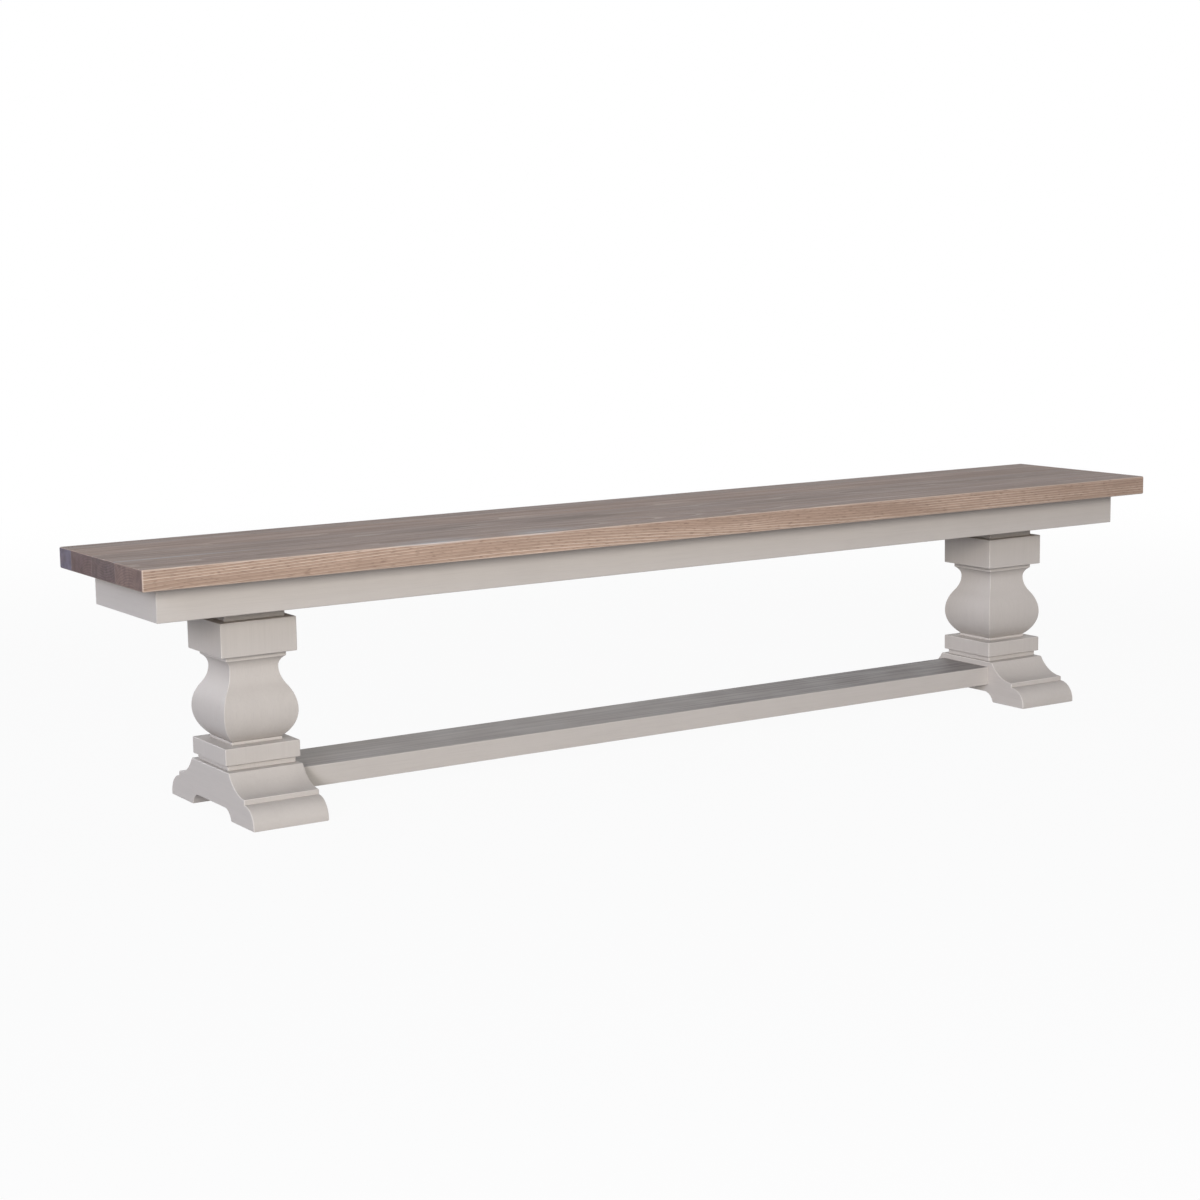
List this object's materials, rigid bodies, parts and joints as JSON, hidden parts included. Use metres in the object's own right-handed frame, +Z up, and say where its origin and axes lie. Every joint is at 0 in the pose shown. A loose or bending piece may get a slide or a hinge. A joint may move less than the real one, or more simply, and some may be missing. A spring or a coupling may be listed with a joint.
{
  "type": "dining bench",
  "caption": "Trestle dining bench: a long plank seat on a mitred apron frame, carried by square vase pedestals on arched feet, which a flat stretcher joins.",
  "frame": {"origin": "on the floor under the middle of the seat", "axes": "+X along the seat towards its right end, +Y towards the back, +Z up"},
  "size_m": [2.2, 0.37, 0.455],
  "materials": {
    "seat_wood": "weathered grey-brown wash on open-grained wood, matt",
    "painted_wood": "brushed stone-grey paint, low satin",
    "bare_wood": "planed bare wood",
    "zinc_steel": "bright zinc plating"
  },
  "bodies": {
    "root": {"rear_seat_stave": "seat_wood", "rear_middle_seat_stave": "seat_wood", "front_middle_seat_stave": "seat_wood", "front_seat_stave": "seat_wood", "front_apron": "painted_wood", "rear_apron": "painted_wood", "left_end_apron": "painted_wood", "right_end_apron": "painted_wood", "stretcher": "painted_wood", "left_foot": "painted_wood", "left_foot_spacer": "painted_wood", "left_base_block": "painted_wood", "left_baluster": "painted_wood", "left_cap_block": "painted_wood", "left_neck_block": "painted_wood", "right_foot": "painted_wood", "right_foot_spacer": "painted_wood", "right_base_block": "painted_wood", "right_baluster": "painted_wood", "right_cap_block": "painted_wood", "right_neck_block": "painted_wood", "front_left_corner_block": "bare_wood", "front_right_corner_block": "bare_wood", "rear_right_corner_block": "bare_wood", "rear_left_corner_block": "bare_wood", "left_cross_bearer": "bare_wood", "centre_cross_bearer": "bare_wood", "right_cross_bearer": "bare_wood", "pedestal_dowels": "bare_wood", "bearer_dowels": "bare_wood", "draw_rods": "zinc_steel", "draw_rod_washers": "zinc_steel", "draw_rod_nuts": "zinc_steel", "seat_screws": "zinc_steel"}
  },
  "joints": []
}
